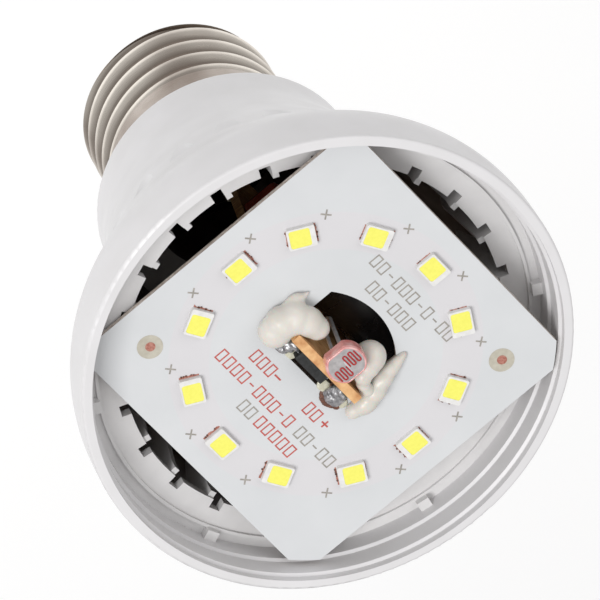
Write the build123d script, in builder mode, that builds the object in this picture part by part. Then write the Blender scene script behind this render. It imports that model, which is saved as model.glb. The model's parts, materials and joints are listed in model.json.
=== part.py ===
"""Opened smart light bulb: E27 cap, white housing and a light engine with a dusk sensor.

+Z runs along the bulb from the cap to the open mouth. The origin is the tip of the centre
contact. X and Y follow the edges of the square LED board. All sizes are in millimetres.
The light engine (LED board, driver board and what they carry) lies askew in the housing,
so it is modelled on its own tilted plane, with u, v across the LED board and w out of it.
"""

import os
from math import cos, degrees, radians, sin

from build123d import *

# ---- driving dimensions -------------------------------------------------------------------

rim_height = 75.5
rim_radius = 30.9
rim_inner_radius = 29.6
wall_radius = 29.2
seat_wall_radius = 28.8
neck_radius = 17.4
neck_start = 28.2
neck_edge_radius = 1.0

ledge_top = 68.5
ledge_thickness = 1.4
ledge_inner_radius = 24.0
ridge_inner_radius = 27.2
ridge_outer_radius = 27.6
ridge_height = 0.4
rib_count = 24
rib_thickness = 0.8
rib_inner_radius = 23.2
notch_phase = 5.0
notch_width = 1.5
notch_depth = 1.2

flute_radius = 3.0
flute_start = 46.5
flute_end = 55.0
flute_depth = 0.65

catch_azimuths = (-158, -100, -32, 22, 82, 150)
catch_inner_radius = 27.5
catch_width = 1.6
catch_height = 1.3

thread_pitch = 3.629
thread_crest_radius = 13.1
thread_root_radius = 12.1
thread_turns = 4
thread_start = 4.0
collar_radius = 13.2
collar_end = 28.0
shell_wall = 0.35
shell_lip_radius = 10.4
shell_lip_height = 3.1

spigot_bore = 10.2
spigot_start = 14.0

contact_radius = 4.9
contact_flat_radius = 3.2
contact_height = 1.3
insulator_bore = 1.5

engine_tilt = 5.5
engine_shift = 0.25
engine_height = 72.45

board_side = 43.0
board_corner_radius = 28.5
board_thickness = 0.7
window_radius = 10.3
window_centre = -2.2
window_left = -3.5
window_half_width = 6.3

led_ring_radius = 16.83
led_offsets = (0.0, 29.3, 61.2)
led_count = 12
led_length = 3.5
led_width = 2.8
led_height = 0.7
phosphor_length = 2.6
phosphor_width = 2.4
phosphor_depth = 0.4
phosphor_shift = 0.2

driver_thickness = 1.2
tongue_half_width = 6.0
tongue_top = 3.0
shoulder_depth = -12.0
driver_half_width = 8.5
driver_bottom = -42.0

capacitor_radius = 5.0
capacitor_length = 14.0
inductor_radius = 4.0
inductor_height = 6.0

sensor_centre = (1.9, -0.15)
sensor_radius = 2.55
sensor_half_width = 2.15
sensor_bottom = 3.2
sensor_thickness = 1.5
sensor_face_thickness = 0.25
sensor_lead_radius = 0.25

wire_radius = 0.6

# ---- working planes -----------------------------------------------------------------------

tilt_axis = Axis((0, 0, 0), (1, 1, 0))
engine_u = Vector(1, 0, 0).rotate(tilt_axis, -engine_tilt)
engine_w = Vector(0, 0, 1).rotate(tilt_axis, -engine_tilt)
engine_plane = Plane(
    origin=(engine_shift, -engine_shift, engine_height), x_dir=engine_u, z_dir=engine_w
)
engine_v = engine_plane.y_dir
along_u = Axis(engine_plane.origin, engine_u)
along_w = Axis(engine_plane.origin, engine_w)


def engine_point(u, v, w):
    """Point of the bulb's frame at u, v across the LED board and w above its top."""
    return engine_plane.from_local_coords(Vector(u, v, w))


def facing_u(u, v=0.0, w=0.0):
    """Plane that looks along u, with its own x along v and its y along w."""
    return Plane(origin=engine_point(u, v, w), x_dir=engine_v, z_dir=engine_u)


def facing_v(u, v, w):
    """Plane that looks along v, with its own x along w and its y along u."""
    return Plane(origin=engine_point(u, v, w), x_dir=engine_w, z_dir=engine_v)


def save(node, label):
    """Label one sub-part and write it as its own STEP file."""
    node.part.label = label
    export_step(node.part, f"parts/{label}.step")


os.makedirs("parts", exist_ok=True)

# ---- cap: contact, insulator and threaded shell --------------------------------------------

contact_chamfer = 0.7
rivet_height = 1.9
rivet_radius = 1.4

with BuildPart() as centre_contact:
    with BuildSketch(Plane.XZ):
        with BuildLine():
            Polyline(
                (0, 0),
                (contact_flat_radius, 0),
                (contact_radius, contact_chamfer),
                (contact_radius, contact_height),
                (rivet_radius, contact_height),
                (rivet_radius, rivet_height),
                (0, rivet_height),
                close=True,
            )
        make_face()
    revolve(axis=Axis.Z)
save(centre_contact, "centre_contact")

insulator_top = 7.0
insulator_outer = thread_root_radius - shell_wall - 0.15
insulator_inner = 9.0
insulator_shoulder = contact_radius + 0.7
insulator_neck = shell_lip_radius - 0.2
insulator_floor = contact_height + 3.2

with BuildPart() as cap_insulator:
    with BuildSketch(Plane.XZ):
        with BuildLine():
            Polyline(
                (insulator_bore, contact_height),
                (insulator_shoulder, contact_height),
                (insulator_neck, shell_lip_height),
                (insulator_neck, shell_lip_height + 0.6),
                (insulator_outer, shell_lip_height + 2.0),
                (insulator_outer, insulator_top),
                (insulator_inner, insulator_top),
                (insulator_shoulder, insulator_floor),
                (insulator_bore, insulator_floor),
                close=True,
            )
        make_face()
    revolve(axis=Axis.Z)
save(cap_insulator, "cap_insulator")

# The thread is rolled sheet: each cross-section is a round tube wall whose centre circles
# the bulb's axis once per pitch, so inside and outside follow the same rounded helix.
thread_amplitude = (thread_crest_radius - thread_root_radius) / 2
thread_mean_radius = (thread_crest_radius + thread_root_radius) / 2
thread_end = thread_start + thread_turns * thread_pitch
thread_path = Pos(0, 0, thread_start) * Rot(0, 0, 180) * Helix(
    pitch=thread_pitch, height=thread_turns * thread_pitch, radius=thread_amplitude
)
shell_inner_radius = thread_root_radius - shell_wall
shell_overlap = 0.05
shell_joint_radius = shell_inner_radius - shell_overlap

with BuildPart() as screw_shell:
    with BuildSketch(Plane.XY.offset(thread_start)):
        with Locations((-thread_amplitude, 0)):
            Circle(thread_mean_radius)
            Circle(thread_mean_radius - shell_wall, mode=Mode.SUBTRACT)
    sweep(path=thread_path, normal=(0, 0, 1))
    # Plain collar above the thread.
    with BuildSketch(Plane.XZ):
        with BuildLine():
            Polyline(
                (shell_joint_radius, thread_end - 0.1),
                (collar_radius - 0.3, thread_end - 0.1),
                (collar_radius, thread_end + 0.3),
                (collar_radius, collar_end),
                (collar_radius - shell_wall, collar_end),
                (collar_radius - shell_wall, thread_end + 0.5),
                (shell_joint_radius, thread_end + 0.3),
                close=True,
            )
        make_face()
    revolve(axis=Axis.Z)
    # Rolled lip below it, turned in over the insulator.
    with BuildSketch(Plane.XZ):
        with BuildLine():
            Polyline(
                (shell_lip_radius, shell_lip_height),
                (thread_root_radius - 0.5, shell_lip_height + 0.2),
                (thread_root_radius + 0.3, thread_start - 0.3),
                (thread_root_radius + 0.6, thread_start + 0.1),
                (shell_joint_radius, thread_start + 0.1),
                (shell_lip_radius, shell_lip_height + 0.4),
                close=True,
            )
        make_face()
    revolve(axis=Axis.Z)
save(screw_shell, "screw_shell")

# ---- housing: spigot, neck, bowl and flutes --------------------------------------------------

spigot_outer = thread_root_radius - shell_wall - 0.25
spigot_wide = collar_radius - shell_wall - 0.15
neck_full = neck_start + neck_edge_radius
bowl_outer = ((neck_radius, neck_full), (19.3, 40.7), (23.9, 53.8), (27.9, 62.5), (rim_radius, 72.0))
ledge_bottom = ledge_top - ledge_thickness
bowl_inner = ((28.0, ledge_bottom), (26.0, 61.8), (22.1, 52.8), (17.6, 40.4), (15.8, 30.2))
rim_edge_radius = 0.4
rim_step = 1.0
catch_depth = 4.0
draft_step = 0.2

# A flute starts at the bowl's surface and sinks to its full depth at the blunt end.
flute_length = flute_end - flute_start
bowl_slope = (bowl_outer[2][0] - bowl_outer[1][0]) / (bowl_outer[2][1] - bowl_outer[1][1])
flute_slope = bowl_slope - flute_depth / flute_length
flute_entry_radius = bowl_outer[1][0] + bowl_slope * (flute_start - bowl_outer[1][1])
flute_exit_radius = flute_entry_radius + flute_slope * flute_length
flute_tool_length = 1.6 * flute_length
flute_dir = Vector(flute_slope, 0, 1).normalized()
flute_out = Vector(1, 0, -flute_slope).normalized()
flute_end_point = Vector(flute_exit_radius, 0, flute_end) + flute_out * flute_radius

# One shallow flute in the outer wall: pointed towards the neck, blunt towards the rim.
with BuildPart() as flute:
    with BuildSketch(Plane(origin=flute_end_point, x_dir=(0, 1, 0), z_dir=-flute_dir)):
        Circle(flute_radius)
    extrude(amount=flute_tool_length)

# The housing is turned as equal sectors with their share of the flutes, so that no single
# face carries all the flutes and its volume stays easy to measure.
sector_count = 6
sector_angle = 360 / sector_count

with BuildPart() as housing_sector:
    with BuildSketch(Plane.XZ):
        with BuildLine():
            Polyline(
                (spigot_bore, spigot_start),
                (spigot_outer, spigot_start),
                (spigot_outer, thread_end),
                (spigot_wide, thread_end + 2.0),
                (spigot_wide, neck_start),
                (neck_radius - neck_edge_radius, neck_start),
            )
            RadiusArc(
                (neck_radius - neck_edge_radius, neck_start), (neck_radius, neck_full), -neck_edge_radius
            )
            Spline(*bowl_outer, tangents=((0.05, 1), (0, 1)))
            Line(bowl_outer[-1], (rim_radius, rim_height - rim_edge_radius))
            RadiusArc(
                (rim_radius, rim_height - rim_edge_radius),
                (rim_radius - rim_edge_radius, rim_height),
                -rim_edge_radius,
            )
            Polyline(
                (rim_radius - rim_edge_radius, rim_height),
                (rim_inner_radius, rim_height),
                (rim_inner_radius, rim_height - rim_step),
                (wall_radius, rim_height - rim_step - draft_step),
                (wall_radius, rim_height - catch_depth),
                (seat_wall_radius, rim_height - catch_depth - draft_step),
                (seat_wall_radius, ledge_bottom),
                bowl_inner[0],
            )
            Spline(*bowl_inner)
            Polyline(bowl_inner[-1], (spigot_bore, neck_start + 0.8), (spigot_bore, spigot_start))
        make_face()
    revolve(axis=Axis.Z, revolution_arc=sector_angle)
    with PolarLocations(
        0, rib_count // sector_count, start_angle=180 / rib_count, angular_range=sector_angle
    ):
        add(flute.part, mode=Mode.SUBTRACT)

with BuildPart() as housing:
    with PolarLocations(0, sector_count):
        add(housing_sector.part, clean=False)
save(housing, "housing")

# ---- ledge ring on the housing's step ---------------------------------------------------------

catch_reach = seat_wall_radius - catch_inner_radius

with BuildPart() as ledge_ring:
    with BuildSketch(Plane.XY.offset(ledge_bottom)):
        Circle(seat_wall_radius)
        Circle(ledge_inner_radius, mode=Mode.SUBTRACT)
        with PolarLocations(ledge_inner_radius, rib_count, start_angle=notch_phase):
            Rectangle(2 * notch_depth, notch_width, mode=Mode.SUBTRACT)
    extrude(amount=ledge_thickness)
    # A low ridge keeps the dome's skirt in the groove along the wall.
    with BuildSketch(Plane.XY.offset(ledge_top)):
        Circle(ridge_outer_radius)
        Circle(ridge_inner_radius, mode=Mode.SUBTRACT)
    extrude(amount=ridge_height)
    # Small catches that held the dome.
    for azimuth in catch_azimuths:
        with BuildSketch(Plane.XY.offset(ledge_top)):
            with PolarLocations(catch_inner_radius + catch_reach / 2, 1, start_angle=azimuth):
                Rectangle(catch_reach, catch_width)
        extrude(amount=catch_height)
    add(housing.part, mode=Mode.SUBTRACT)
save(ledge_ring, "ledge_ring")

# ---- thin ribs that run down the bowl, one against the side of each notch ---------------------

rib_top = ledge_top - 0.3
rib_outer_radius = 28.2
rib_shoulder = ledge_bottom - 0.6
rib_mid = 60.0
rib_foot = 55.0
rib_lag = degrees((notch_width + rib_thickness) / 2 / ledge_inner_radius)

with BuildPart() as rib:
    with BuildSketch(Plane.XZ):
        with BuildLine():
            Polyline(
                (rib_inner_radius, rib_top),
                (ledge_inner_radius, rib_top),
                (ledge_inner_radius, ledge_bottom),
                (rib_outer_radius, ledge_bottom),
                (rib_outer_radius, rib_shoulder),
                (rib_inner_radius + 2.6, rib_mid),
                (rib_inner_radius + 0.4, rib_foot),
                (rib_inner_radius - 0.6, rib_foot - 0.4),
                (rib_inner_radius - 1.3, rib_foot + 2.0),
                (rib_inner_radius, rib_shoulder),
                close=True,
            )
        make_face()
    extrude(amount=rib_thickness / 2, both=True)
    add(housing.part, mode=Mode.SUBTRACT)

with BuildPart() as ledge_ribs:
    with PolarLocations(0, rib_count, start_angle=notch_phase - rib_lag):
        add(rib.part)
    add(ledge_ring.part, mode=Mode.SUBTRACT)
save(ledge_ribs, "ledge_ribs")

# ---- inside the cap: fusible resistor in the live lead, neutral lead ------------------------

resistor_radius = 2.0
resistor_bottom = 10.0
resistor_top = 19.0
resistor_edge_radius = 0.6
lead_end = 29.2
neutral_offset = 11.0
neutral_inset = 7.5
neutral_start = 8.0

with BuildPart() as fusible_resistor:
    with BuildSketch(Plane.XY.offset(resistor_bottom)):
        Circle(resistor_radius)
    extrude(amount=resistor_top - resistor_bottom)
    fillet(fusible_resistor.edges(), radius=resistor_edge_radius)
    with BuildSketch(Plane.XY.offset(rivet_height)):
        Circle(wire_radius)
    extrude(amount=lead_end - rivet_height)
save(fusible_resistor, "fusible_resistor")

with BuildPart() as neutral_lead:
    with BuildLine() as neutral_route:
        FilletPolyline(
            (0, -neutral_offset, neutral_start),
            (0, -neutral_offset, neutral_start + 3.0),
            (0, -neutral_inset, neutral_start + 9.0),
            (0, -neutral_inset, lead_end),
            radius=(3.0, 6.0),
        )
    with BuildSketch(Plane(origin=neutral_route.line @ 0, z_dir=neutral_route.line % 0)):
        Circle(wire_radius)
    sweep(path=neutral_route.line)
save(neutral_lead, "neutral_lead")

# ---- LED board with its window, LEDs and phosphors ------------------------------------------

with BuildPart() as led_board:
    with BuildSketch(engine_plane.offset(-board_thickness)):
        Rectangle(board_side, board_side)
        Circle(board_corner_radius, mode=Mode.INTERSECT)
        with BuildSketch(mode=Mode.SUBTRACT):
            with Locations((window_centre, 0)):
                Circle(window_radius)
            with Locations((window_left + board_side / 2, 0)):
                Rectangle(board_side, 2 * window_half_width, mode=Mode.INTERSECT)
    extrude(amount=board_thickness)
save(led_board, "led_board")

for number in range(led_count):
    quadrant, place = divmod(number, len(led_offsets))
    angle = radians(90 * quadrant + led_offsets[place])
    tangent = engine_v * cos(angle) - engine_u * sin(angle)
    led_origin = engine_point(led_ring_radius * cos(angle), led_ring_radius * sin(angle), 0)
    led_plane = Plane(origin=led_origin, x_dir=tangent, z_dir=engine_w)
    with BuildPart() as led:
        with BuildSketch(led_plane):
            Rectangle(led_length, led_width)
        extrude(amount=led_height)
        chamfer(led.edges().filter_by(along_w), length=0.15)
        with BuildSketch(led_plane.offset(led_height)):
            with Locations((phosphor_shift, 0)):
                RectangleRounded(phosphor_length, phosphor_width, 0.3)
        extrude(amount=-phosphor_depth, mode=Mode.SUBTRACT)
    save(led, f"led_{number + 1:02d}")
    with BuildPart() as led_phosphor:
        with BuildSketch(led_plane.offset(led_height - phosphor_depth)):
            with Locations((phosphor_shift, 0)):
                RectangleRounded(phosphor_length, phosphor_width, 0.3)
        extrude(amount=phosphor_depth - 0.05)
    save(led_phosphor, f"led_phosphor_{number + 1:02d}")

# ---- driver board and its components --------------------------------------------------------

with BuildPart() as driver_board:
    with BuildSketch(facing_u(-driver_thickness)):
        with BuildLine():
            Polyline(
                (-tongue_half_width, tongue_top),
                (tongue_half_width, tongue_top),
                (tongue_half_width, shoulder_depth),
                (driver_half_width, shoulder_depth),
                (driver_half_width, driver_bottom),
                (-driver_half_width, driver_bottom),
                (-driver_half_width, shoulder_depth),
                (-tongue_half_width, shoulder_depth),
                close=True,
            )
        make_face()
    extrude(amount=driver_thickness)
save(driver_board, "driver_board")

ic_height = 1.45
ic_length = 4.9
ic_width = 4.0
ic_centre = (0.9, 0.0)

with BuildPart() as driver_ic:
    with BuildSketch(facing_u(-driver_thickness, *ic_centre)):
        Rectangle(ic_length, ic_width)
    extrude(amount=-ic_height)
    chamfer(driver_ic.edges().filter_by(along_u), length=0.2)
save(driver_ic, "driver_ic")

bridge_size = (4.7, 3.9, 1.7)
bridge_depth = -32.0

with BuildPart() as bridge_rectifier:
    with BuildSketch(facing_u(-driver_thickness, 0, bridge_depth)):
        Rectangle(bridge_size[0], bridge_size[1])
    extrude(amount=-bridge_size[2])
    chamfer(bridge_rectifier.edges().filter_by(along_u), length=0.3)
save(bridge_rectifier, "bridge_rectifier")

chip_resistor_size = (3.2, 1.6, 0.6)
chip_resistor_places = ((3.5, -9.0), (-3.5, -9.0), (4.5, -22.0), (-4.5, -24.0))

for number, (v, w) in enumerate(chip_resistor_places, start=1):
    with BuildPart() as chip_resistor:
        with BuildSketch(facing_u(-driver_thickness, v, w)):
            Rectangle(chip_resistor_size[0], chip_resistor_size[1])
        extrude(amount=-chip_resistor_size[2])
    save(chip_resistor, f"chip_resistor_{number}")

diode_size = (4.3, 2.6, 2.1)
diode_depth = -16.0

with BuildPart() as flyback_diode:
    with BuildSketch(facing_u(-driver_thickness, 0, diode_depth)):
        Rectangle(diode_size[0], diode_size[1])
    extrude(amount=-diode_size[2])
    chamfer(flyback_diode.edges().filter_by(along_u), length=0.4)
save(flyback_diode, "flyback_diode")

capacitor_centre = (6.2, -3.5, -11.5)
capacitor_end = capacitor_centre[1] + capacitor_length / 2
capacitor_lead_reach = 1.8
capacitor_lead_spread = 1.25
capacitor_lead_radius = 0.3

with BuildPart() as electrolytic_capacitor:
    with BuildSketch(facing_v(*capacitor_centre)):
        Circle(capacitor_radius)
    extrude(amount=capacitor_length / 2, both=True)
    fillet(electrolytic_capacitor.edges(), radius=0.6)
save(electrolytic_capacitor, "electrolytic_capacitor")

for number, spread in enumerate((-capacitor_lead_spread, capacitor_lead_spread), start=1):
    lead_w = capacitor_centre[2] + spread
    with BuildPart() as capacitor_lead:
        with BuildLine() as lead_route:
            FilletPolyline(
                engine_point(capacitor_centre[0], capacitor_end, lead_w),
                engine_point(capacitor_centre[0], capacitor_end + capacitor_lead_reach, lead_w),
                engine_point(0, capacitor_end + capacitor_lead_reach, lead_w),
                radius=1.2,
            )
        with BuildSketch(Plane(origin=lead_route.line @ 0, z_dir=lead_route.line % 0)):
            Circle(capacitor_lead_radius)
        sweep(path=lead_route.line)
    save(capacitor_lead, f"capacitor_lead_{number}")

inductor_centre = (-3.2, -23.5)
flange_thickness = 1.0
core_radius = inductor_radius - 0.6

with BuildPart() as inductor:
    with BuildSketch(facing_u(0, *inductor_centre)):
        Circle(inductor_radius)
    extrude(amount=flange_thickness)
    with BuildSketch(facing_u(flange_thickness, *inductor_centre)):
        Circle(core_radius)
    extrude(amount=inductor_height - 2 * flange_thickness)
    with BuildSketch(facing_u(inductor_height - flange_thickness, *inductor_centre)):
        Circle(inductor_radius)
    extrude(amount=flange_thickness)
save(inductor, "inductor")

film_size = (7.2, 9.0, 5.0)
film_centre = (4.7, -25.0)
film_gap = 0.1

with BuildPart() as film_capacitor:
    with BuildSketch(facing_u(film_gap, *film_centre)):
        RectangleRounded(film_size[0], film_size[1], 1.0)
    extrude(amount=film_size[2])
    fillet(film_capacitor.faces().sort_by(along_u)[-1].edges(), radius=0.8)
save(film_capacitor, "film_capacitor")

# Solder joints between the tongue and the LED board.
for label, v, joint_radius, joint_reach in (
    ("solder_joint_positive", -4.3, 1.5, 2.2),
    ("solder_joint_negative", 4.5, 0.95, 2.0),
):
    with BuildPart() as solder_joint:
        with BuildSketch(facing_u(-driver_thickness, v, joint_radius)):
            Circle(joint_radius)
        extrude(amount=-joint_reach)
        fillet(solder_joint.edges().sort_by(along_u)[0], radius=0.8)
    save(solder_joint, label)

# ---- light sensor -----------------------------------------------------------------------------

with BuildPart() as photoresistor:
    with BuildSketch(engine_plane.offset(sensor_bottom)):
        with Locations(sensor_centre):
            Circle(sensor_radius)
            Rectangle(3 * sensor_radius, 2 * sensor_half_width, mode=Mode.INTERSECT)
    extrude(amount=sensor_thickness)
save(photoresistor, "photoresistor")

with BuildPart() as photoresistor_face:
    with BuildSketch(engine_plane.offset(sensor_bottom + sensor_thickness)):
        with Locations(sensor_centre):
            Circle(sensor_radius - 0.25)
            Rectangle(3 * sensor_radius, 2 * sensor_half_width - 0.5, mode=Mode.INTERSECT)
    extrude(amount=sensor_face_thickness)
save(photoresistor_face, "photoresistor_face")

sensor_lead_v = 1.2
sensor_lead_bends = ((1.4, -3.6), (2.6, -5.2))

for number, (u, bend_w) in enumerate(sensor_lead_bends, start=1):
    with BuildPart() as sensor_lead:
        with BuildLine() as lead_route:
            FilletPolyline(
                engine_point(u, sensor_lead_v, sensor_bottom),
                engine_point(u, sensor_lead_v, bend_w),
                engine_point(0, sensor_lead_v, bend_w),
                radius=0.9,
            )
        with BuildSketch(Plane(origin=lead_route.line @ 0, z_dir=lead_route.line % 0)):
            Circle(sensor_lead_radius)
        sweep(path=lead_route.line)
    save(sensor_lead, f"photoresistor_lead_{number}")

# ---- silicone that holds the driver and the sensor --------------------------------------------

tongue_clearance = 0.02
large_blob_centre = (0.2, 8.0)
large_blob_size = (7.4, 4.8, 3.4)
smear_centre = (2.0, -7.6)
smear_size = (9.0, 2.4, 2.2)
lobe_centre = (4.4, -2.4, 1.05)
lobe_radius = 2.0

with BuildPart() as tongue_space:
    with BuildSketch(facing_u(-driver_thickness - tongue_clearance)):
        Rectangle(2 * (tongue_half_width + tongue_clearance), 4 * tongue_top)
    extrude(amount=driver_thickness + 2 * tongue_clearance)

with BuildPart() as silicone_large:
    with BuildSketch(engine_plane):
        with Locations(large_blob_centre):
            RectangleRounded(large_blob_size[0], large_blob_size[1], 2.2)
    extrude(amount=large_blob_size[2])
    fillet(silicone_large.faces().sort_by(along_w)[-1].edges(), radius=1.6)
    add(tongue_space.part, mode=Mode.SUBTRACT)
save(silicone_large, "silicone_large")

with BuildPart() as silicone_smear:
    with BuildSketch(engine_plane):
        with Locations(smear_centre):
            RectangleRounded(smear_size[0], smear_size[1], 1.1)
    extrude(amount=smear_size[2])
    fillet(silicone_smear.faces().sort_by(along_w)[-1].edges(), radius=0.9)
save(silicone_smear, "silicone_smear")

with BuildPart() as silicone_lobe:
    with BuildSketch(facing_u(*lobe_centre)):
        Circle(lobe_radius)
        with Locations((-lobe_radius, 0)):
            Rectangle(2 * lobe_radius, 2 * lobe_radius, mode=Mode.INTERSECT)
    revolve(axis=Axis(engine_point(*lobe_centre), engine_w), revolution_arc=360)
save(silicone_lobe, "silicone_lobe")
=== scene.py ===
"""Looks of an opened smart light bulb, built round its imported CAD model.

The bulb stands on its cap with +Z towards the open mouth. Everything carried by the LED board
is placed in engine coordinates: u and v across the board's top, w out of it, in millimetres.
"""

import json
import random
from math import cos, pi, radians, sin

import bmesh
import bpy
from mathutils import Matrix, Vector, noise


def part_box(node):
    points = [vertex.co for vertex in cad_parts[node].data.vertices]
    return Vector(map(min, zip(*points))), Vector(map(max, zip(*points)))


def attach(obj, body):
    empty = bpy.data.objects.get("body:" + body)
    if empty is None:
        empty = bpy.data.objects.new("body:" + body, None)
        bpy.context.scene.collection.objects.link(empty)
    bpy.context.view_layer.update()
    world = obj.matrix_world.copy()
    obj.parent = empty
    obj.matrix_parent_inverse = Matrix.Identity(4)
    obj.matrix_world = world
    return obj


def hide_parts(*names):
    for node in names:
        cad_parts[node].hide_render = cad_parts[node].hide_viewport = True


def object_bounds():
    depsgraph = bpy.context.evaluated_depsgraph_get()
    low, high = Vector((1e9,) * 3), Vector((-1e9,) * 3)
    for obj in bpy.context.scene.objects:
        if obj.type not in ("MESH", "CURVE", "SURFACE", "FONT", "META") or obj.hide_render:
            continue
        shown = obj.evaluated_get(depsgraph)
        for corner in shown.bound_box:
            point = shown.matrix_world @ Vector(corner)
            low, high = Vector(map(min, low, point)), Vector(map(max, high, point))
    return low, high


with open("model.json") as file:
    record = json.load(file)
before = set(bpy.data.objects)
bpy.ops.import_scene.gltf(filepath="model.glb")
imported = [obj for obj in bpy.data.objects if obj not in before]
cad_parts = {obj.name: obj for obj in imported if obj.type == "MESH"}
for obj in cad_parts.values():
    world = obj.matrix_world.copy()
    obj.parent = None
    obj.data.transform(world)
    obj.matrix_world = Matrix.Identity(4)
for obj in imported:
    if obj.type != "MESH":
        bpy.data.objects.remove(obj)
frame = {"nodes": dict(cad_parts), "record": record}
cad_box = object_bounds()

MM = 0.001
ENGINE = "light_engine"

# ---- engine coordinates, from the LEDs that stand opposite each other ------------------------

LED_COUNT = 12
LED_HEIGHT = 0.7
LED_LENGTH = 3.5
LED_WIDTH = 2.8
LED_RING_RADIUS = 16.83
LED_OFFSETS = (0.0, 29.3, 61.2)


def box_centre(node):
    """Centre of a CAD node's box, in metres."""
    low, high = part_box(node)
    return (low + high) / 2


def engine_matrix():
    """Matrix from engine coordinates in millimetres to the row frame in metres."""
    east, north, west, south = (box_centre(f"led_{n:02d}") for n in (1, 4, 7, 10))
    u = (east - west).normalized()
    w = u.cross(north - south).normalized()
    v = w.cross(u)
    origin = (east + north + west + south) / 4 - w * (LED_HEIGHT / 2 * MM)
    rotation = Matrix((u, v, w)).transposed().to_4x4()
    return Matrix.Translation(origin) @ rotation @ Matrix.Scale(MM, 4)


ENGINE_MATRIX = engine_matrix()


def engine_direction(index):
    """Unit vector of u, v or w in the row frame."""
    return ENGINE_MATRIX.col[index].to_3d().normalized()


# ---- camera, floor and lights ----------------------------------------------------------------

# Angles are in degrees, the distance and the floor in metres, the target in engine coordinates.
VIEW_AZIMUTH = 167.3
VIEW_ELEVATION = 58.0
VIEW_ROLL = 149.3
VIEW_DISTANCE = 0.746
VIEW_TARGET = (1.77, 6.22, -3.63)
LENS = 370.0
FILM_WIDTH = 36
CLIP_START = 0.05
CLIP_END = 20
FLOOR_DROP = 0.25
FLOOR_SIZE = 6.0
FLOOR_GLOW = 0.06
WORLD_STRENGTH = 0.60
# Name, azimuth and elevation, distance, size and power of each light.
LIGHTS = (
    ("key", 225, 55, 1.0, 0.45, 6.0),
    ("fill", 100, 40, 1.2, 0.9, 2.2),
)


def direction(azimuth, elevation):
    """Unit vector towards a viewer: azimuth 0 stands at -Y and 90 at +X."""
    a, e = radians(azimuth), radians(elevation)
    return Vector((sin(a) * cos(e), -cos(a) * cos(e), sin(e)))


def make_camera():
    """Camera at the photograph's viewing angle."""
    data = bpy.data.cameras.new("camera")
    data.lens = LENS
    data.sensor_width = FILM_WIDTH
    data.clip_start = CLIP_START
    data.clip_end = CLIP_END
    camera = bpy.data.objects.new("camera", data)
    bpy.context.scene.collection.objects.link(camera)
    back = direction(VIEW_AZIMUTH, VIEW_ELEVATION)
    place = ENGINE_MATRIX @ Vector(VIEW_TARGET) + back * VIEW_DISTANCE
    turn = back.to_track_quat("Z", "Y").to_matrix().to_4x4()
    roll = Matrix.Rotation(radians(VIEW_ROLL), 4, "Z")
    camera.matrix_world = Matrix.Translation(place) @ turn @ roll
    bpy.context.scene.camera = camera


def area_light(name, azimuth, elevation, distance, size, power):
    """Square soft light aimed at the bulb."""
    data = bpy.data.lights.new(name, "AREA")
    data.size = size
    data.energy = power
    light = bpy.data.objects.new(name, data)
    bpy.context.scene.collection.objects.link(light)
    back = direction(azimuth, elevation)
    target = (cad_box[0] + cad_box[1]) / 2
    light.location = target + back * distance
    light.rotation_mode = "QUATERNION"
    light.rotation_quaternion = back.to_track_quat("Z", "Y")


def make_stage():
    """Plain pale floor, an even sky and the soft lights."""
    bm = bmesh.new()
    bmesh.ops.create_grid(bm, x_segments=1, y_segments=1, size=FLOOR_SIZE / 2)
    mesh = bpy.data.meshes.new("floor")
    bm.to_mesh(mesh)
    bm.free()
    floor = bpy.data.objects.new("floor", mesh)
    floor.location.z = cad_box[0].z - FLOOR_DROP
    bpy.context.scene.collection.objects.link(floor)
    paint = Shader(
        "floor_white", roughness=0.9, Emission_Color=(1, 1, 1, 1), Emission_Strength=FLOOR_GLOW
    )
    paint.colour(paint.ramp(paint.noise(3.0), (0.965, 0.965, 0.97), (0.99, 0.99, 0.99)))
    mesh.materials.append(paint.material)
    world = bpy.data.worlds.new("studio")
    world.use_nodes = True
    sky = world.node_tree.nodes["Background"]
    sky.inputs["Color"].default_value = (1.0, 0.995, 0.99, 1)
    sky.inputs["Strength"].default_value = WORLD_STRENGTH
    bpy.context.scene.world = world
    bpy.context.scene.view_settings.view_transform = "Standard"
    for light in LIGHTS:
        area_light(*light)


# ---- node materials --------------------------------------------------------------------------

# Depth of a fine moulded or printed grain, in metres.
FINE_GRAIN = 0.00002
# The rest are in millimetres. Heights between which painted shade darkens the bowl and the ribs
# downwards:
BOWL_SHADE_FADE = (58, 66.5)
RIB_SHADE_FADE = (56, 65)
# Radii of the thread's roots and crests, and where the collar starts above them:
THREAD_ROOT = 12.1
THREAD_CREST = 13.1
COLLAR_START = 18.4
COLLAR_FADE = 0.4
# Inner and outer radius of the board's track ring:
TRACK_RING = (14.4, 19.4)
# Below the capacitor's axis, where its stripe starts, and the pitch of the dashes in it:
STRIPE_EDGE = (-4.75, -4.65)
DASH_PITCH = 2.2


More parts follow.
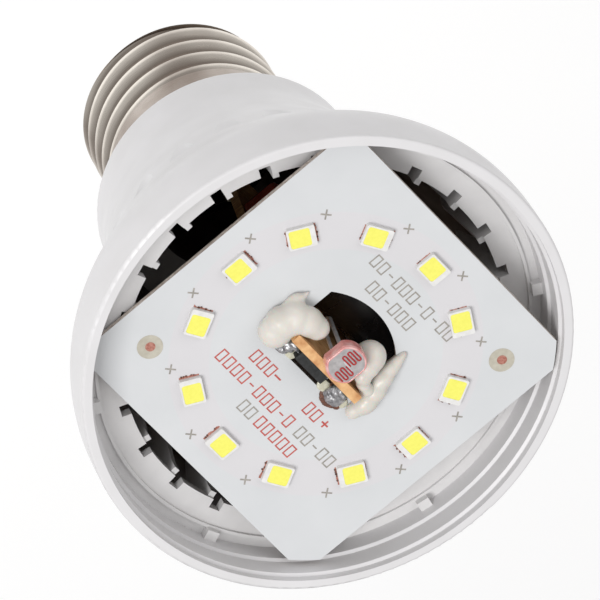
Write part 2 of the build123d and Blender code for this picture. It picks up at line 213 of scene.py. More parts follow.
class Shader:
    """A node material, with a short call for each kind of node used here."""

    def __init__(self, name, metallic=0.0, roughness=0.5, **sockets):
        self.material = bpy.data.materials.new(name)
        self.material.use_nodes = True
        self.tree = self.material.node_tree
        self.bsdf = self.tree.nodes["Principled BSDF"]
        self.bsdf.inputs["Metallic"].default_value = metallic
        self.bsdf.inputs["Roughness"].default_value = roughness
        for socket, value in sockets.items():
            self.bsdf.inputs[socket.replace("_", " ")].default_value = value
        self.place = self.tree.nodes.new("ShaderNodeTexCoord").outputs["Object"]

    def link(self, source, target):
        self.tree.links.new(source, target)

    def math(self, operation, first, second=None):
        node = self.tree.nodes.new("ShaderNodeMath")
        node.operation = operation
        for socket, value in zip(node.inputs, (first, second)):
            if value is None:
                continue
            if isinstance(value, (int, float)):
                socket.default_value = value
            else:
                self.link(value, socket)
        return node.outputs[0]

    def noise(self, scale, detail=3.0, stretch=None):
        """Noise of about scale features a metre; stretch squeezes it along an axis."""
        node = self.tree.nodes.new("ShaderNodeTexNoise")
        node.inputs["Scale"].default_value = scale
        node.inputs["Detail"].default_value = detail
        if stretch is None:
            self.link(self.place, node.inputs["Vector"])
        else:
            mapping = self.tree.nodes.new("ShaderNodeMapping")
            mapping.inputs["Scale"].default_value = stretch
            self.link(self.place, mapping.inputs["Vector"])
            self.link(mapping.outputs[0], node.inputs["Vector"])
        return node.outputs["Fac"]

    def ramp(self, factor, first, last, start=0.3, end=0.7):
        """Colour that goes from first to last as factor goes from start to end."""
        node = self.tree.nodes.new("ShaderNodeValToRGB")
        node.color_ramp.elements[0].position = start
        node.color_ramp.elements[0].color = (*first, 1)
        node.color_ramp.elements[1].position = end
        node.color_ramp.elements[1].color = (*last, 1)
        self.link(factor, node.inputs[0])
        return node.outputs["Color"]

    def mix(self, factor, first, second):
        node = self.tree.nodes.new("ShaderNodeMix")
        node.data_type = "RGBA"
        self.link(factor, node.inputs["Factor"])
        for name, value in (("A", first), ("B", second)):
            socket = next(s for s in node.inputs if s.name == name and s.type == "RGBA")
            if isinstance(value, tuple):
                socket.default_value = (*value, 1)
            else:
                self.link(value, socket)
        return next(s for s in node.outputs if s.type == "RGBA")

    def spread(self, factor, low, high, start=0.3, end=0.7):
        """Number from low to high as factor goes from start to end."""
        node = self.tree.nodes.new("ShaderNodeMapRange")
        node.inputs["From Min"].default_value = start
        node.inputs["From Max"].default_value = end
        node.inputs["To Min"].default_value = low
        node.inputs["To Max"].default_value = high
        self.link(factor, node.inputs["Value"])
        return node.outputs["Result"]

    def vector_math(self, operation, first, second=None):
        """Vector Math node; the second value is a constant or another output."""
        node = self.tree.nodes.new("ShaderNodeVectorMath")
        node.operation = operation
        self.link(first, node.inputs[0])
        if isinstance(second, (tuple, Vector)):
            node.inputs[1].default_value = second
        elif second is not None:
            self.link(second, node.inputs[1])
        return node.outputs["Value" if operation == "DOT_PRODUCT" else "Vector"]

    def hypot(self, first, second):
        """Square root of the sum of two squares."""
        squares = [self.math("MULTIPLY", side, side) for side in (first, second)]
        return self.math("SQRT", self.math("ADD", *squares))

    def along(self, axis, origin=(0, 0, 0)):
        """Distance along a unit axis from an origin, in metres."""
        distance = self.vector_math("DOT_PRODUCT", self.place, axis)
        return self.math("SUBTRACT", distance, Vector(axis).dot(Vector(origin)))

    def height(self):
        """Height of the surface on the object, in metres."""
        node = self.tree.nodes.new("ShaderNodeSeparateXYZ")
        self.link(self.place, node.inputs[0])
        return node.outputs["Z"]

    def normal(self):
        """The surface's own direction, in the object's axes."""
        return self.tree.nodes.new("ShaderNodeTexCoord").outputs["Normal"]

    def facing(self, axis):
        """How far the surface faces along a unit axis, from -1 to 1."""
        return self.vector_math("DOT_PRODUCT", self.normal(), axis)

    def engine_axis(self, index):
        """Engine coordinate u, v or w of the surface, in metres."""
        return self.along(engine_direction(index), ENGINE_MATRIX.translation)

    def within(self, value, low, high, edge=0.0001):
        """1 between low and high, with a soft edge, and 0 outside, in metres."""
        rise = self.spread(value, 0, 1, low - edge, low + edge)
        fall = self.spread(value, 1, 0, high - edge, high + edge)
        return self.math("MULTIPLY", rise, fall)

    def colour(self, source):
        self.link(source, self.bsdf.inputs["Base Color"])

    def roughness(self, source):
        self.link(source, self.bsdf.inputs["Roughness"])

    def bump(self, height, strength, distance):
        node = self.tree.nodes.new("ShaderNodeBump")
        node.inputs["Strength"].default_value = strength
        node.inputs["Distance"].default_value = distance
        self.link(height, node.inputs["Height"])
        self.link(node.outputs[0], self.bsdf.inputs["Normal"])


def mottled(name, dark, light, scale, rough, metallic=0.0, **sockets):
    """Plain material with slight cloudiness, uneven gloss and a fine grain."""
    paint = Shader(name, metallic=metallic, **sockets)
    paint.colour(paint.ramp(paint.noise(scale), dark, light))
    paint.roughness(paint.spread(paint.noise(scale * 0.6), *rough))
    paint.bump(paint.noise(scale * 4), 0.3, FINE_GRAIN)
    return paint.material


def housing_plastic():
    """Satin white outside; in the bowl behind the ledge, painted shade turns it darker and browner
    with depth.
    """
    paint = Shader("housing_plastic", Coat_Weight=0.15, Coat_Roughness=0.25)
    white = paint.ramp(paint.noise(160), (0.665, 0.655, 0.66), (0.70, 0.69, 0.70))
    outward = paint.vector_math("NORMALIZE", paint.vector_math("MULTIPLY", paint.place, (1, 1, 0)))
    facing = paint.vector_math("DOT_PRODUCT", outward, paint.normal())
    # Painted shade: surfaces facing into the bowl blend to a dark brown that deepens downwards.
    inward = paint.spread(facing, 1, 0, -0.3, 0.0)
    painted_depth_shade = paint.spread(paint.height(), 1, 0, *(z * MM for z in BOWL_SHADE_FADE))
    streaks = paint.noise(240, stretch=(1, 1, 0.2))
    dark = paint.ramp(streaks, (0.06, 0.037, 0.026), (0.20, 0.155, 0.13))
    paint.colour(paint.mix(paint.math("MULTIPLY", inward, painted_depth_shade), white, dark))
    paint.roughness(paint.spread(paint.noise(220), 0.32, 0.44))
    paint.bump(paint.noise(2600), 0.15, FINE_GRAIN)
    return paint.material


def ledge_plastic():
    """The same white moulding; painted shade greys the ribs slightly towards their feet."""
    paint = Shader("ledge_plastic")
    white = paint.ramp(paint.noise(260), (0.66, 0.65, 0.65), (0.72, 0.71, 0.71))
    # Painted shade: the ribs grey downwards between these heights.
    painted_depth_shade = paint.spread(paint.height(), 1, 0, *(z * MM for z in RIB_SHADE_FADE))
    paint.colour(paint.mix(painted_depth_shade, white, (0.42, 0.39, 0.37)))
    paint.roughness(paint.spread(paint.noise(300), 0.35, 0.5))
    paint.bump(paint.noise(2600), 0.15, FINE_GRAIN)
    return paint.material


def rolled_nickel():
    """Warm nickel plating, with painted shade dull and brown in the thread's roots and a painted
    highlight on its crests.
    """
    paint = Shader("rolled_nickel", metallic=1.0)
    lines = paint.noise(500, detail=4, stretch=(0.15, 0.15, 6))
    x, y, z = (paint.along(axis) for axis in ((1, 0, 0), (0, 1, 0), (0, 0, 1)))
    # Painted shade in the thread's roots and a painted highlight on its crests, by distance from
    # the axis.
    crest_highlight_mask = paint.spread(paint.hypot(x, y), 0, 1, THREAD_ROOT * MM, THREAD_CREST * MM)
    painted_thread_light = paint.ramp(crest_highlight_mask, (0.17, 0.135, 0.11), (0.90, 0.84, 0.76), 0.0, 1.0)
    clouds = paint.ramp(paint.noise(300), (0.40, 0.345, 0.30), (0.56, 0.50, 0.45))
    collar = paint.spread(z, 0, 1, COLLAR_START * MM, (COLLAR_START + COLLAR_FADE) * MM)
    tarnish = paint.spread(paint.noise(85, detail=1, stretch=(1, 1, 0.15)), 0, 0.6, 0.52, 0.68)
    plated = paint.mix(collar, painted_thread_light, clouds)
    paint.colour(paint.mix(tarnish, plated, (0.19, 0.145, 0.12)))
    paint.roughness(paint.spread(lines, 0.20, 0.34))
    paint.bump(lines, 0.25, 0.00003)
    return paint.material


def board_mask():
    """White solder mask with a faint warm track ring; the punched edge shows the aluminium."""
    paint = Shader("board_mask")
    radius = paint.hypot(paint.engine_axis(0), paint.engine_axis(1))
    mask = paint.ramp(paint.noise(130), (0.605, 0.618, 0.63), (0.635, 0.645, 0.657))
    ring = paint.within(radius, *(r * MM for r in TRACK_RING))
    tinted = paint.mix(paint.math("MULTIPLY", ring, 0.45), mask, (0.655, 0.615, 0.635))
    up = paint.spread(paint.facing(engine_direction(2)), 0, 1, 0.4, 0.9)
    grain = paint.noise(1500, stretch=(1, 1, 3))
    edge = paint.ramp(grain, (0.33, 0.26, 0.21), (0.68, 0.62, 0.56))
    paint.colour(paint.mix(up, edge, tinted))
    paint.roughness(paint.spread(paint.noise(500), 0.28, 0.4))
    paint.bump(paint.noise(1800), 0.12, FINE_GRAIN)
    return paint.material


def laminate():
    """Tan paper laminate: fibrous orange edges, with a grey-green mask on the component side."""
    paint = Shader("laminate")
    fibres = paint.noise(700, detail=6, stretch=(1, 1, 5))
    tan = paint.ramp(fibres, (0.50, 0.23, 0.085), (0.82, 0.52, 0.25))
    mask = paint.ramp(paint.noise(900), (0.26, 0.27, 0.20), (0.40, 0.40, 0.32))
    left = paint.spread(paint.facing(engine_direction(0)), 1, 0, -0.9, -0.5)
    paint.colour(paint.mix(left, tan, mask))
    paint.roughness(paint.spread(paint.noise(800), 0.4, 0.65))
    paint.bump(fibres, 0.4, 0.00006)
    return paint.material


def phosphor_gel():
    """Yellow phosphor under clear gel."""
    paint = Shader("phosphor_gel", Coat_Weight=0.3, Coat_Roughness=0.2)
    paint.colour(paint.ramp(paint.noise(2500), (0.82, 0.79, 0.125), (0.87, 0.84, 0.15)))
    paint.roughness(paint.spread(paint.noise(1500), 0.35, 0.5))
    paint.bump(paint.noise(9000), 0.3, FINE_GRAIN)
    return paint.material


def capacitor_film():
    """Black shrink sleeve with a pale polarity stripe along it."""
    paint = Shader("capacitor_film")
    centre = box_centre("electrolytic_capacitor")
    across = paint.along(engine_direction(2), centre)
    lower = paint.spread(across, 1, 0, *(w * MM for w in STRIPE_EDGE))
    lengthwise = paint.along(engine_direction(1), centre)
    dashes = paint.math("SINE", paint.math("MULTIPLY", lengthwise, 2 * pi / (DASH_PITCH * MM)))
    printed = paint.spread(dashes, 0, 1, 0.3, 0.5)
    stripe = paint.ramp(printed, (0.62, 0.63, 0.64), (0.02, 0.02, 0.02))
    black = paint.ramp(paint.noise(300), (0.006, 0.006, 0.007), (0.018, 0.016, 0.016))
    paint.colour(paint.mix(lower, black, stripe))
    paint.roughness(paint.spread(paint.noise(250), 0.22, 0.34))
    paint.bump(paint.noise(500), 0.2, 0.00008)
    return paint.material


def wound_copper():
    """Lacquered copper turns on a ferrite drum."""
    paint = Shader("wound_copper", metallic=0.6)
    paint.colour(paint.ramp(paint.noise(1500), (0.42, 0.16, 0.06), (0.72, 0.35, 0.16)))
    paint.roughness(paint.spread(paint.noise(1200), 0.25, 0.4))
    paint.bump(paint.noise(3000), 0.2, FINE_GRAIN)
    return paint.material


# Finish: material name, darkest and lightest colour, scale, least and most roughness, and
# metallic where it isn't 0. Finishes named after a slot of the record dress that slot.
MOTTLED = {
    "contact": ("tinned_contact", (0.50, 0.48, 0.44), (0.74, 0.72, 0.67), 700, (0.25, 0.45), 1.0),
    "insulator": ("black_glass", (0.008, 0.008, 0.01), (0.02, 0.02, 0.024), 500, (0.12, 0.2)),
    "led_package": ("led_package", (0.68, 0.67, 0.655), (0.77, 0.76, 0.75), 1500, (0.3, 0.4)),
    "black_epoxy": ("black_epoxy", (0.008, 0.009, 0.009), (0.03, 0.032, 0.033), 1800, (0.4, 0.6)),
    "chip_ceramic": ("chip_ceramic", (0.01, 0.01, 0.012), (0.04, 0.04, 0.045), 1500, (0.3, 0.45)),
    "film_dip": ("film_dip", (0.28, 0.03, 0.015), (0.42, 0.06, 0.03), 400, (0.15, 0.28)),
    "ferrite": ("ferrite", (0.03, 0.03, 0.034), (0.08, 0.08, 0.085), 2200, (0.5, 0.7)),
    "solder": ("solder", (0.20, 0.20, 0.21), (0.58, 0.57, 0.58), 1900, (0.28, 0.5), 0.85),
    "tinned_wire": ("tinned_wire", (0.62, 0.62, 0.64), (0.86, 0.86, 0.88), 900, (0.3, 0.45), 0.7),
    "resistor_sleeve": ("resistor_sleeve", (0.36, 0.33, 0.22), (0.52, 0.48, 0.35), 800, (0.5, 0.7)),
    "lead_insulation": (
        "lead_insulation", (0.66, 0.65, 0.60), (0.78, 0.77, 0.72), 500, (0.3, 0.45)
    ),
    "sensor_ceramic": ("sensor_epoxy", (0.60, 0.16, 0.15), (0.80, 0.50, 0.48), 700, (0.12, 0.2)),
    "sensor_face": ("sensor_face", (0.30, 0.285, 0.285), (0.44, 0.42, 0.42), 1300, (0.25, 0.35)),
    "silicone": ("silicone", (0.60, 0.57, 0.515), (0.68, 0.65, 0.60), 250, (0.3, 0.42)),
    "flux": ("burnt_flux", (0.05, 0.022, 0.014), (0.19, 0.075, 0.045), 2500, (0.3, 0.5)),
    "red_print": ("red_print", (0.42, 0.055, 0.045), (0.56, 0.14, 0.115), 2500, (0.5, 0.65)),
    "grey_print": ("grey_print", (0.26, 0.245, 0.22), (0.38, 0.355, 0.32), 2500, (0.5, 0.65)),
    "sensor_red": ("sensor_red", (0.30, 0.012, 0.014), (0.45, 0.03, 0.03), 2500, (0.25, 0.4)),
    "bare_pad": ("bare_pad", (0.42, 0.39, 0.32), (0.52, 0.49, 0.41), 1200, (0.4, 0.5)),
    "copper_pad": ("copper_pad", (0.30, 0.09, 0.06), (0.50, 0.24, 0.19), 3500, (0.3, 0.5)),
    "residue": ("flux_residue", (0.52, 0.50, 0.37), (0.68, 0.66, 0.55), 1800, (0.2, 0.35)),
}
# Further shader sockets of those finishes.
EXTRAS = {
    "sensor_ceramic": {"Coat_Weight": 0.6},
    "sensor_face": {"Coat_Weight": 0.5},
    "silicone": {"Subsurface_Weight": 0.25, "Subsurface_Scale": 0.001},
}


def make_materials():
    """Every finish, by name."""
    finishes = {name: mottled(*row, **EXTRAS.get(name, {})) for name, row in MOTTLED.items()}
    return finishes | {
        "housing": housing_plastic(),
        "screw_shell": rolled_nickel(),
        "led_board": board_mask(),
        "phosphor": phosphor_gel(),
        "circuit_board": laminate(),
        "capacitor_sleeve": capacitor_film(),
        "ledge": ledge_plastic(),
        "copper": wound_copper(),
    }


LEDGE_NODES = ("ledge_ring", "ledge_ribs")


def dress_cad_nodes():
    """Every CAD node gets the finish of its slot; the ledge and its ribs have one of their own."""
    for part in frame["record"]["subparts"]:
        node = frame["nodes"][part["node"]]
        slot_name = "ledge" if part["node"] in LEDGE_NODES else part["material_slot"]
        finish = FINISHES[slot_name]
        if not node.material_slots:
            node.data.materials.append(finish)
        for slot in node.material_slots:
            slot.material = finish


# ---- mesh helpers ----------------------------------------------------------------------------


def piece(name, bm, finish, smooth=False):
    """Turns a mesh made in engine coordinates into a piece that rides on the light engine."""
    mesh = bpy.data.meshes.new(name)
    bmesh.ops.recalc_face_normals(bm, faces=bm.faces)
    bm.to_mesh(mesh)
    bm.free()
    mesh.transform(ENGINE_MATRIX)
    mesh.materials.append(FINISHES[finish])
    for polygon in mesh.polygons:
        polygon.use_smooth = smooth
    made = bpy.data.objects.new(name, mesh)
    bpy.context.scene.collection.objects.link(made)
    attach(made, ENGINE)
    return made


def apply_modifiers(made):
    """Replaces a piece's mesh by what its modifiers make of it."""
    graph = bpy.context.evaluated_depsgraph_get()
    shaped = bpy.data.meshes.new_from_object(made.evaluated_get(graph))
    made.modifiers.clear()
    made.data = shaped


def add_prism(bm, outline, low, high):
    """Adds a prism: an outline of (u, v) points, from w = low to w = high."""
    rings = [[bm.verts.new((u, v, w)) for u, v in outline] for w in (low, high)]
    bm.faces.new(reversed(rings[0]))
    bm.faces.new(rings[1])
    for i in range(len(outline)):
        j = (i + 1) % len(outline)
        bm.faces.new((rings[0][i], rings[0][j], rings[1][j], rings[1][i]))


def circle_outline(centre, radius, sides):
    """Regular polygon round a centre."""
    return [
        (centre[0] + radius * cos(2 * pi * i / sides), centre[1] + radius * sin(2 * pi * i / sides))
        for i in range(sides)
    ]


def bar_outline(centre, length, width, angle):
    """Rectangle round a centre, its length turned by angle from the u axis."""
    c, s = cos(angle), sin(angle)
    corners = ((-0.5, -0.5), (0.5, -0.5), (0.5, 0.5), (-0.5, 0.5))
    return [
        (centre[0] + a * length * c - b * width * s, centre[1] + a * length * s + b * width * c)
        for a, b in corners
    ]


def plus_outline(centre, size, stroke, angle):
    """Plus sign round a centre, one arm turned by angle from the u axis."""
    c, s = cos(angle), sin(angle)
    outline = []
    for quarter in range(4):
        for a, b in ((size / 2, -stroke / 2), (size / 2, stroke / 2), (stroke / 2, stroke / 2)):
            for _ in range(quarter):
                a, b = -b, a
            outline.append((centre[0] + a * c - b * s, centre[1] + a * s + b * c))
    return outline


def add_tube(bm, points, radius, sides):
    """Adds a closed round tube along points, with an even section and flat ends."""
    points = [Vector(p) for p in points]
    rings = []
    side = None
    for i, point in enumerate(points):
        ahead = points[min(i + 1, len(points) - 1)] - points[max(i - 1, 0)]
        ahead.normalize()
        if side is None:
            side = ahead.orthogonal().normalized()
        side = (side - ahead * side.dot(ahead)).normalized()
        other = ahead.cross(side)
        ring = []
        for k in range(sides):
            a = 2 * pi * k / sides
            ring.append(bm.verts.new(point + radius * (cos(a) * side + sin(a) * other)))
        rings.append(ring)
    for first, second in zip(rings, rings[1:]):
        for k in range(sides):
            j = (k + 1) % sides
            bm.faces.new((first[k], first[j], second[j], second[k]))
    bm.faces.new(reversed(rings[0]))
    bm.faces.new(rings[-1])


def smooth_path(points, steps):
    """Catmull-Rom curve through the points."""
    points = [Vector(p) for p in points]
    padded = [2 * points[0] - points[1], *points, 2 * points[-1] - points[-2]]
    path = []
    for a, b, c, d in zip(padded, padded[1:], padded[2:], padded[3:]):
        square = 2 * a - 5 * b + 4 * c - d
        cube = 3 * b - a - 3 * c + d
        for i in range(steps):
            t = i / steps
            path.append(0.5 * (2 * b + (c - a) * t + square * t**2 + cube * t**3))
    path.append(points[-1])
    return path


# ---- blobs of silicone and solder ------------------------------------------------------------


# Finer waves on a blob: how many to one coarse wave, and their share of its height.
WAVE_DETAIL = 3
WAVE_SHARE = 0.3


def blob(name, lumps, voxel, finish, ripple, grain, smoothing=28, floor=None):
    """Runs ellipsoids, each a centre and three radii, together into one soft closed blob.

    Ripple is the height of its waves and grain how many there are in a millimetre. It is flat
    where it lies on w = floor.
    """
    bm = bmesh.new()
    for centre, radii in lumps:
        shape = Matrix.Translation(centre) @ Matrix.Diagonal((*radii, 1))
        bmesh.ops.create_icosphere(bm, subdivisions=3, radius=1.0, matrix=shape)
    made = piece(name, bm, finish, smooth=True)
    remesh = made.modifiers.new("join", "REMESH")
    remesh.mode = "VOXEL"
    remesh.voxel_size = voxel * MM
    remesh.use_smooth_shade = True
    soften = made.modifiers.new("soften", "SMOOTH")
    soften.iterations = smoothing
    soften.factor = 0.5
    apply_modifiers(made)
    back = ENGINE_MATRIX.inverted()
    for vertex in made.data.vertices:
        point = back @ vertex.co
        wave = noise.noise(point * grain) * ripple
        wave += noise.noise(point * grain * WAVE_DETAIL) * ripple * WAVE_SHARE
        point += (back.to_3x3() @ vertex.normal).normalized() * wave
        if floor is not None:
            point.z = max(point.z, floor)
        vertex.co = ENGINE_MATRIX @ point
    made.data.update()
    for polygon in made.data.polygons:
        polygon.use_smooth = True
    return made


def make_silicone():
    """Cured beads: over the tongue's end, along the window's edge and behind the sensor."""
    large = blob(
        "silicone_bead_large",
        (
            ((-2.0, 7.6, 1.1), (2.2, 2.2, 2.0)),
            ((-0.7, 8.0, 1.4), (2.4, 2.2, 2.1)),
            ((0.8, 7.5, 1.5), (2.1, 2.2, 2.0)),
            ((1.7, 5.9, 1.6), (1.9, 2.1, 1.8)),
            ((1.9, 4.7, 1.6), (1.6, 1.7, 1.5)),
            ((1.7, 8.7, 0.6), (1.8, 1.0, 0.8)),
            ((3.0, 8.4, 0.35), (1.2, 0.5, 0.4)),
        ),
        0.16, "silicone", floor=0.02, ripple=0.16, grain=0.38,
    )
    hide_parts("silicone_large")
    smear = blob(
        "silicone_bead_smear",
        (
            ((-2.2, -8.0, 0.5), (1.4, 1.1, 1.1)),
            ((-0.6, -8.1, 0.7), (1.9, 1.4, 1.5)),
            ((1.2, -7.6, 0.8), (1.9, 1.4, 1.6)),
            ((2.8, -7.1, 0.7), (1.8, 1.2, 1.4)),
            ((4.4, -6.8, 0.5), (1.7, 0.95, 1.1)),
            ((5.7, -6.6, 0.35), (1.3, 0.7, 0.8)),
            ((6.6, -6.6, 0.2), (0.8, 0.5, 0.5)),
        ),
        0.14, "silicone", floor=0.02, ripple=0.07, grain=0.45,
    )
    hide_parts("silicone_smear")
    lobe = blob(
        "silicone_bead_lobe",
        (
            ((3.9, -3.1, 1.5), (2.2, 2.1, 2.0)),
            ((3.0, -3.7, 2.3), (1.5, 1.4, 1.4)),
            ((1.8, -4.2, 2.4), (1.1, 1.2, 1.2)),
            ((1.1, -5.2, 2.0), (0.85, 1.1, 0.95)),
            ((0.9, -6.3, 1.5), (0.9, 1.1, 1.0)),
            ((0.9, -7.2, 1.1), (1.0, 1.0, 0.9)),
        ),
        0.14, "silicone", ripple=0.07, grain=0.45,
    )
    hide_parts("silicone_lobe")


def make_solder():
    """Solder joints beside the tongue, with burnt flux and pale residue round them."""
    positive = blob(
        "solder_bead_positive",
        (
            ((-2.7, -4.7, 0.55), (1.35, 1.45, 0.9)),
            ((-2.0, -4.4, 1.1), (0.9, 1.3, 0.95)),
            ((-1.5, -4.3, 1.9), (0.5, 1.0, 0.8)),
        ),
        0.1, "solder", floor=0.0, ripple=0.2, grain=1.3, smoothing=4,
    )
    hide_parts("solder_joint_positive")
    negative = blob(
        "solder_bead_negative",
        (
            ((-3.1, 4.9, 0.35), (0.85, 1.0, 0.55)),
            ((-2.3, 4.7, 0.75), (0.8, 0.95, 0.7)),
            ((-1.6, 4.6, 1.4), (0.45, 0.9, 0.8)),
        ),
        0.1, "solder", floor=0.0, ripple=0.2, grain=1.3, smoothing=4,
    )
    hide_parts("solder_joint_negative")
    blob(
        "flux_rim_positive",
        (((-2.9, -4.8, 0.1), (1.75, 1.85, 0.28)), ((-3.5, -6.3, 0.08), (0.6, 0.4, 0.2))),
        0.08, "flux", floor=0.0, ripple=0.1, grain=2.2, smoothing=3,
    )
    blob(
        "flux_rim_negative",
        (((-3.4, 6.0, 0.25), (0.45, 0.4, 0.35)), ((-2.9, 5.8, 0.3), (0.5, 0.35, 0.35))),
        0.08, "flux", floor=0.0, ripple=0.06, grain=2.2, smoothing=3,
    )
    blob(
        "flux_residue",
        (
            ((-2.9, 3.4, 0.12), (0.7, 0.9, 0.3)),
            ((-2.9, -3.0, 0.1), (0.8, 1.1, 0.25)),
            ((-2.8, -6.2, 0.1), (0.8, 0.9, 0.22)),
        ),
        0.08, "residue", floor=0.0, ripple=0.06, grain=2.0, smoothing=4,
    )


# ---- what is printed or soldered on the LED board --------------------------------------------

PRINT_HEIGHT = 0.03
PLUS_RADIUS = 19.1
PLUS_LAG = 10.5
PLUS_TURN = 40
PLUS_SIZE = 1.35
PLUS_STROKE = 0.2
PAD_STEPS = 8
PAD_OVERLAP = 0.05
PAD_RAGGED = (0.35, 1.0)
# Each end of an LED: side, reach, how much narrower than the LED, and number of flux spots.
PAD_ENDS = ((-1, 0.34, 0.3, 5), (1, 0.17, 0.7, 2))
SPOT_INSET = 0.06
SPOT_RADIUS = (0.07, 0.15)
SPOT_HEIGHT = (0.06, 0.12)
FIDUCIALS = ((-14.6, 16.2), (15.0, -15.9))
FIDUCIAL_RADIUS = 1.6
FIDUCIAL_DOT = 0.62
FIDUCIAL_SHIFT = 0.05


def led_places():
    """Angle of each LED round the board, in radians."""
    for number in range(LED_COUNT):
        quadrant, place = divmod(number, len(LED_OFFSETS))
        yield radians(90 * quadrant + LED_OFFSETS[place])


def make_polarity_marks():
    """A plus printed outside each LED."""
    bm = bmesh.new()
    for angle in led_places():
        a = angle - radians(PLUS_LAG)
        centre = (PLUS_RADIUS * cos(a), PLUS_RADIUS * sin(a))
        outline = plus_outline(centre, PLUS_SIZE, PLUS_STROKE, radians(PLUS_TURN))
        add_prism(bm, outline, 0.0, PRINT_HEIGHT)
    piece("polarity_marks", bm, "grey_print")


def make_led_pads():
    """Ragged copper and burnt flux past the clockwise end of each LED, a trace at the other."""
    draw = random.Random(7)
    copper = bmesh.new()
    flux = bmesh.new()
    for angle in led_places():
        radial = Vector((cos(angle), sin(angle), 0))
        tangent = Vector((-sin(angle), cos(angle), 0))
        centre = LED_RING_RADIUS * radial
        for end, reach, narrower, spots in PAD_ENDS:
            out = tangent * end
            wide = LED_WIDTH - narrower
            edge = centre + out * (LED_LENGTH / 2 - PAD_OVERLAP)
            inner = [edge + radial * wide * (k / PAD_STEPS - 0.5) for k in range(PAD_STEPS + 1)]
            outer = [p + out * (PAD_OVERLAP + reach * draw.uniform(*PAD_RAGGED)) for p in inner]
            outline = [(p.x, p.y) for p in (*inner, *reversed(outer))]
            add_prism(copper, outline if end > 0 else outline[::-1], 0.0, PRINT_HEIGHT)
            for _ in range(spots):
                spot = draw.choice(outer[1:-1]) - out * SPOT_INSET
                outline = circle_outline((spot.x, spot.y), draw.uniform(*SPOT_RADIUS), 10)
                add_prism(flux, outline, 0.0, draw.uniform(*SPOT_HEIGHT))
    piece("led_pads", copper, "copper_pad")
    piece("led_solder", flux, "flux")


def make_fiducials():
    """Two bare alignment spots in the mask, each with a copper dot."""
    bare = bmesh.new()
    dots = bmesh.new()
    for u, v in FIDUCIALS:
        add_prism(bare, circle_outline((u, v), FIDUCIAL_RADIUS, 48), 0.0, PRINT_HEIGHT)
        dot = circle_outline((u + FIDUCIAL_SHIFT, v), FIDUCIAL_DOT, 32)
        add_prism(dots, dot, 0.0, 2 * PRINT_HEIGHT)
    piece("fiducial_spots", bare, "bare_pad")
    piece("fiducial_dots", dots, "copper_pad")


CELL_PITCH = 1.42
CELL_LENGTH = 1.0
CELL_HEIGHT = 1.7
CELL_STROKE = 0.17
DASH_LENGTH = 0.7
# Rows of cells along v: u, first and last v, and which cells are dashes.
RED_ROWS = (
    (-9.1, 9.8, -5.0, (4, 8)),
    (-11.65, -0.6, -7.2, ()),
    (-6.2, 6.8, 2.6, ()),
    (-6.2, -3.4, -6.4, ()),
)
GREY_ROWS = (
    (-9.1, -5.2, -11.8, (2,)),
    (-11.65, 2.6, -0.4, ()),
    (12.5, 6.3, -8.7, (2, 6, 8)),
    (9.9, 3.9, -4.9, (2,)),
)
SIGN_MINUS = (-6.2, 1.9)
SIGN_PLUS = (-6.2, -7.2)
SIGN_SIZE = 1.1
SIGN_STROKE = 0.22


def add_cell(bm, centre):
    """Adds one hollow printed cell, a closed frame."""
    low_outer, low_inner, high_outer, high_inner = (
        [
            bm.verts.new((u, v, w))
            for u, v in bar_outline(centre, CELL_HEIGHT - inset, CELL_LENGTH - inset, 0)
        ]
        for w in (0.0, PRINT_HEIGHT)
        for inset in (0.0, 2 * CELL_STROKE)
    )
    for i in range(4):
        j = (i + 1) % 4
        bm.faces.new((low_outer[i], low_outer[j], high_outer[j], high_outer[i]))
        bm.faces.new((high_outer[i], high_outer[j], high_inner[j], high_inner[i]))
        bm.faces.new((high_inner[i], high_inner[j], low_inner[j], low_inner[i]))
        bm.faces.new((low_inner[i], low_inner[j], low_outer[j], low_outer[i]))


def print_row(bm, u, start, end, dashes):
    """Row of plain printed cells along v; a cell whose number is in dashes is a dash."""
    for i in range(round((start - end) / CELL_PITCH)):
        v = start - (i + 0.5) * CELL_PITCH
        if i in dashes:
            add_prism(bm, bar_outline((u, v), CELL_STROKE, DASH_LENGTH, 0), 0.0, PRINT_HEIGHT)
        else:
            add_cell(bm, (u, v))


def make_print():
    """Generic printed rows where such a board is marked, and plain signs beside the two joints."""
    red = bmesh.new()
    for row in RED_ROWS:
        print_row(red, *row)
    add_prism(red, bar_outline(SIGN_MINUS, SIGN_STROKE, SIGN_SIZE, 0), 0.0, PRINT_HEIGHT)
    add_prism(red, plus_outline(SIGN_PLUS, SIGN_SIZE, SIGN_STROKE, 0), 0.0, PRINT_HEIGHT)
    piece("red_print", red, "red_print")
    grey = bmesh.new()
    for row in GREY_ROWS:
        print_row(grey, *row)
    piece("grey_print", grey, "grey_print")


# ---- light sensor ----------------------------------------------------------------------------

SENSOR_CENTRE = (1.9, -0.15)
SENSOR_TOP = 4.95
TRACK_STROKE = 0.22
TRACK_PITCH = 0.40
TRACK_COUNT = 5
TRACK_BULGE = 0.16
# Left end, lowest and highest v of each group of strokes, from the sensor's centre.
TRACK_GROUPS = ((-1.75, -1.35, 0.0), (0.25, -0.45, 1.0))
RIM_RADIUS = 2.32
RIM_FLAT = 1.98
RIM_DROP = 0.12
RIM_TUBE = 0.15
STRIP_SHIFT = (0.02, -0.25)
STRIP_SIZE = (0.3, 1.7)
STRIP_TURN = -8
# Bottom and top of the strip, from the sensor's top.
STRIP_SPAN = (-0.1, 0.04)


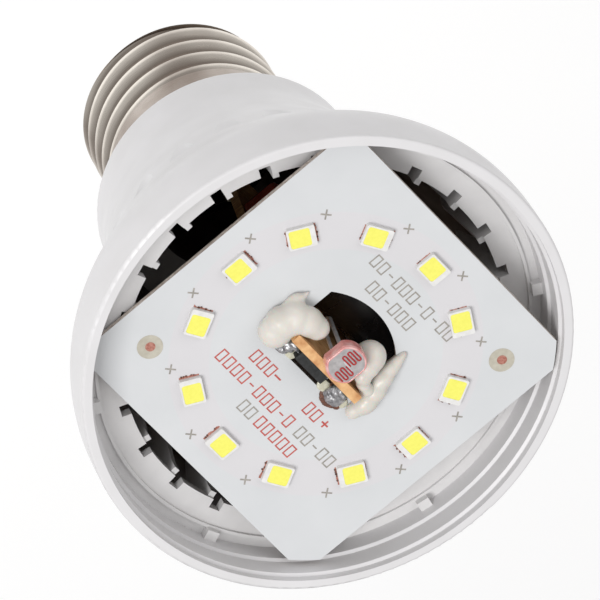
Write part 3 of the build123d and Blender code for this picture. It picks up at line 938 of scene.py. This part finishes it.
def serpentine(left, low, high):
    """Path that runs up and down along v, with round turns, while it moves along u."""
    points = []
    for i in range(TRACK_COUNT):
        u = left + i * TRACK_PITCH
        ends = (low, high) if i % 2 == 0 else (high, low)
        points.append((u, ends[0], SENSOR_TOP))
        points.append((u, (low + high) / 2, SENSOR_TOP))
        points.append((u, ends[1], SENSOR_TOP))
        if i < TRACK_COUNT - 1:
            bulge = TRACK_BULGE if ends[1] > ends[0] else -TRACK_BULGE
            points.append((u + TRACK_PITCH / 2, ends[1] + bulge, SENSOR_TOP))
    return smooth_path(points, 5)


def make_sensor_track():
    """Red track in two groups on the sensor's face, a bright strip, and a rim round the face."""
    u, v = SENSOR_CENTRE
    track = bmesh.new()
    for left, low, high in TRACK_GROUPS:
        add_tube(track, serpentine(u + left, v + low, v + high), TRACK_STROKE / 2, 8)
    piece("sensor_track", track, "sensor_red", smooth=True)
    rim = bmesh.new()
    ring = []
    for i in range(65):
        a = 2 * pi * i / 64
        across = max(-RIM_FLAT, min(RIM_FLAT, RIM_RADIUS * sin(a)))
        ring.append((u + RIM_RADIUS * cos(a), v + across, SENSOR_TOP - RIM_DROP))
    add_tube(rim, ring, RIM_TUBE, 10)
    piece("sensor_rim", rim, "sensor_ceramic", smooth=True)
    strip = bmesh.new()
    centre = (u + STRIP_SHIFT[0], v + STRIP_SHIFT[1])
    outline = bar_outline(centre, *STRIP_SIZE, radians(STRIP_TURN))
    add_prism(strip, outline, *(SENSOR_TOP + w for w in STRIP_SPAN))
    piece("sensor_strip", strip, "tinned_wire")


# ---- driver details --------------------------------------------------------------------------

# Side and edge of the chip's body for each row of its legs, and where along w they stand.
CHIP_ROWS = ((1, 3.35), (-1, -1.55))
CHIP_LEGS = 4
CHIP_FIRST = -1.6
CHIP_PITCH = 0.9
RECTIFIER_ROWS = (-33.2, -30.8)
DIODE_ROW = -16
# Legs as (u, reach) points: the reach is along v, away from the edge that the leg leaves.
CHIP_LEG = ((-1.95, -0.1), (-1.95, 0.25), (-1.32, 0.4), (-1.3, 0.85))
RECTIFIER_LEG = ((-2.0, 2.3), (-2.0, 2.7), (-1.34, 2.9), (-1.3, 3.5))
DIODE_LEG = ((-2.2, 2.1), (-1.5, 2.35), (-1.3, 2.8))
WINDING_TURNS = 11
WINDING_STEPS = 24
WINDING_RADIUS = 3.55
WINDING_SPAN = (1.25, 4.75)
WINDING_WIRE = 0.17


def add_leg(bm, profile, side, edge, w, radius):
    """Adds one leg, bent as its profile says, to one side of an edge."""
    add_tube(bm, [(u, edge + reach * side, w) for u, reach in profile], radius, 6)


def make_chip_legs():
    """Gull-wing legs on the driver chip, and the legs of the rectifier and the diode."""
    bm = bmesh.new()
    for side, edge in CHIP_ROWS:
        for i in range(CHIP_LEGS):
            add_leg(bm, CHIP_LEG, side, edge, CHIP_FIRST + i * CHIP_PITCH, 0.12)
    for side in (-1, 1):
        for w in RECTIFIER_ROWS:
            add_leg(bm, RECTIFIER_LEG, side, 0, w, 0.16)
        add_leg(bm, DIODE_LEG, side, 0, DIODE_ROW, 0.3)
    piece("chip_legs", bm, "tinned_wire", smooth=True)


def make_winding():
    """Copper turns between the inductor's flanges, as one helix."""
    centre = ENGINE_MATRIX.inverted() @ box_centre("inductor")
    start, end = WINDING_SPAN
    steps = WINDING_TURNS * WINDING_STEPS
    points = []
    for i in range(steps + 1):
        a = 2 * pi * WINDING_TURNS * i / steps
        v, w = centre.y + WINDING_RADIUS * cos(a), centre.z + WINDING_RADIUS * sin(a)
        points.append((start + (end - start) * i / steps, v, w))
    bm = bmesh.new()
    add_tube(bm, points, WINDING_WIRE, 6)
    piece("inductor_winding", bm, "copper", smooth=True)


make_camera()
FINISHES = make_materials()
make_stage()
dress_cad_nodes()
make_silicone()
make_solder()
make_polarity_marks()
make_led_pads()
make_fiducials()
make_print()
make_sensor_track()
make_chip_legs()
make_winding()
